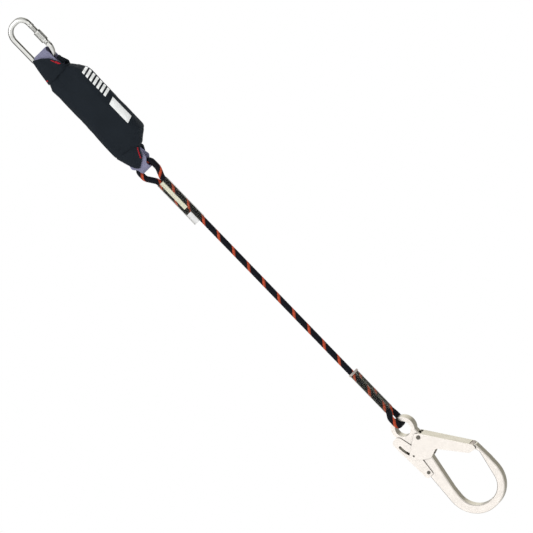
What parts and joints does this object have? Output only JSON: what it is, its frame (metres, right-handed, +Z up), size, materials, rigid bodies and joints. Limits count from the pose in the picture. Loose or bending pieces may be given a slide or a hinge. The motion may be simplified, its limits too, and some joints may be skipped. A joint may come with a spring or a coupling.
{
  "type": "shock absorbing lanyard",
  "caption": "Fall protection lanyard: screw gate karabiner, fabric covered tear webbing absorber, braided rope and a large scaffold hook with a sprung gate and lever.",
  "frame": {"origin": "centre of the karabiner's top bend on its mid-plane, where the anchor bears", "axes": "+Z up along the hanging lanyard, front faces -Y, karabiner gate towards +X"},
  "size_m": [0.1195, 0.0392, 1.2005],
  "materials": {
    "polished_steel": "polished",
    "zinc_steel": "satin",
    "spring_steel": "satin",
    "grey_webbing": "woven",
    "black_cover": "fine weave",
    "black_strip": "hook and loop",
    "red_thread": "thread",
    "rope_sheath": "braided",
    "clear_tube": "clear shrink plastic",
    "label_film": "satin",
    "pale_thread": "thread"
  },
  "bodies": {
    "karabiner": {"karabiner_body": "polished_steel", "karabiner_hinge_rivet": "polished_steel"},
    "karabiner_gate": {"karabiner_gate": "polished_steel", "latch_pin": "polished_steel", "karabiner_gate_spring": "spring_steel"},
    "plunger": {"gate_plunger": "polished_steel"},
    "sleeve": {"screw_sleeve": "polished_steel"},
    "absorber": {"upper_webbing_loop": "grey_webbing", "lower_webbing_loop": "grey_webbing", "tear_webbing": "grey_webbing", "absorber_cover": "black_cover", "upper_cuff": "black_cover", "lower_cuff": "black_cover", "closure_strip": "black_strip", "upper_stitching": "red_thread", "lower_stitching": "red_thread"},
    "rope_top": {"rope_upper_eye": "rope_sheath", "upper_shrink_tube": "clear_tube", "label_strip": "label_film"},
    "rope_1": {"rope_section_1": "rope_sheath"},
    "rope_2": {"rope_section_2": "rope_sheath"},
    "rope_3": {"rope_section_3": "rope_sheath"},
    "rope_4": {"rope_section_4": "rope_sheath"},
    "rope_5": {"rope_section_5": "rope_sheath"},
    "rope_bottom": {"rope_lower_eye": "rope_sheath", "lower_shrink_tube": "clear_tube", "tube_thread_band": "pale_thread"},
    "hook": {"hook_body": "zinc_steel", "gate_pivot_rivet": "zinc_steel", "lever_pivot_rivet": "zinc_steel", "gate_return_spring": "spring_steel", "lever_return_spring": "spring_steel"},
    "hook_gate": {"hook_gate": "zinc_steel", "guide_pin": "zinc_steel"},
    "hook_lever": {"hook_lever": "zinc_steel"}
  },
  "joints": [
    {"name": "karabiner_gate_hinge", "type": "hinge", "parent": "karabiner", "child": "karabiner_gate", "pos_m": [0.022, 0, -0.046], "axis": [0, -1, 0], "range_deg": [0, 28]},
    {"name": "plunger_slide", "type": "slide", "parent": "karabiner_gate", "child": "plunger", "axis": [0, 0, 1], "range_m": [0, 0.0013], "deforming": ["karabiner_gate_spring"]},
    {"name": "sleeve_slide", "type": "slide", "parent": "karabiner_gate", "child": "sleeve", "axis": [0, 0, 1], "range_m": [0, 0.0195]},
    {"name": "absorber_swing", "type": "hinge", "parent": "karabiner", "child": "absorber", "pos_m": [0, 0, -0.066], "axis": [1, 0, 0], "range_deg": [-35, 35]},
    {"name": "rope_eye_swing", "type": "hinge", "parent": "absorber", "child": "rope_top", "pos_m": [0, 0, -0.312], "axis": [1, 0, 0], "range_deg": [-40, 40]},
    {"name": "rope_bend_1", "type": "hinge", "parent": "rope_top", "child": "rope_1", "pos_m": [0, 0, -0.465], "axis": [0, 1, 0], "range_deg": [-20, 20]},
    {"name": "rope_bend_2", "type": "hinge", "parent": "rope_1", "child": "rope_2", "pos_m": [0, 0, -0.535], "axis": [1, 0, 0], "range_deg": [-20, 20]},
    {"name": "rope_bend_3", "type": "hinge", "parent": "rope_2", "child": "rope_3", "pos_m": [0, 0, -0.605], "axis": [0, 1, 0], "range_deg": [-20, 20]},
    {"name": "rope_bend_4", "type": "hinge", "parent": "rope_3", "child": "rope_4", "pos_m": [0, 0, -0.675], "axis": [1, 0, 0], "range_deg": [-20, 20]},
    {"name": "rope_bend_5", "type": "hinge", "parent": "rope_4", "child": "rope_5", "pos_m": [0, 0, -0.745], "axis": [0, 1, 0], "range_deg": [-20, 20]},
    {"name": "rope_bend_6", "type": "hinge", "parent": "rope_5", "child": "rope_bottom", "pos_m": [0, 0, -0.815], "axis": [1, 0, 0], "range_deg": [-20, 20]},
    {"name": "hook_swing", "type": "hinge", "parent": "rope_bottom", "child": "hook", "pos_m": [0, 0, -0.9536], "axis": [0, 1, 0], "range_deg": [-60, 60]},
    {"name": "hook_gate_hinge", "type": "hinge", "parent": "hook", "child": "hook_gate", "pos_m": [0.0118, 0, -0.9921], "axis": [0, 1, 0], "range_deg": [0, 45], "deforming": ["gate_return_spring"]},
    {"name": "hook_lever_hinge", "type": "hinge", "parent": "hook", "child": "hook_lever", "pos_m": [-0.0222, 0, -1.0493], "axis": [0, 1, 0], "range_deg": [0, 4], "deforming": ["lever_return_spring"]}
  ],
  "couplings": [
    {"joint": "plunger_slide", "follows": "karabiner_gate_hinge", "m_per_rad": 0.002558},
    {"joint": "hook_lever_hinge", "follows": "hook_gate_hinge", "ratio": 0.088889}
  ]
}
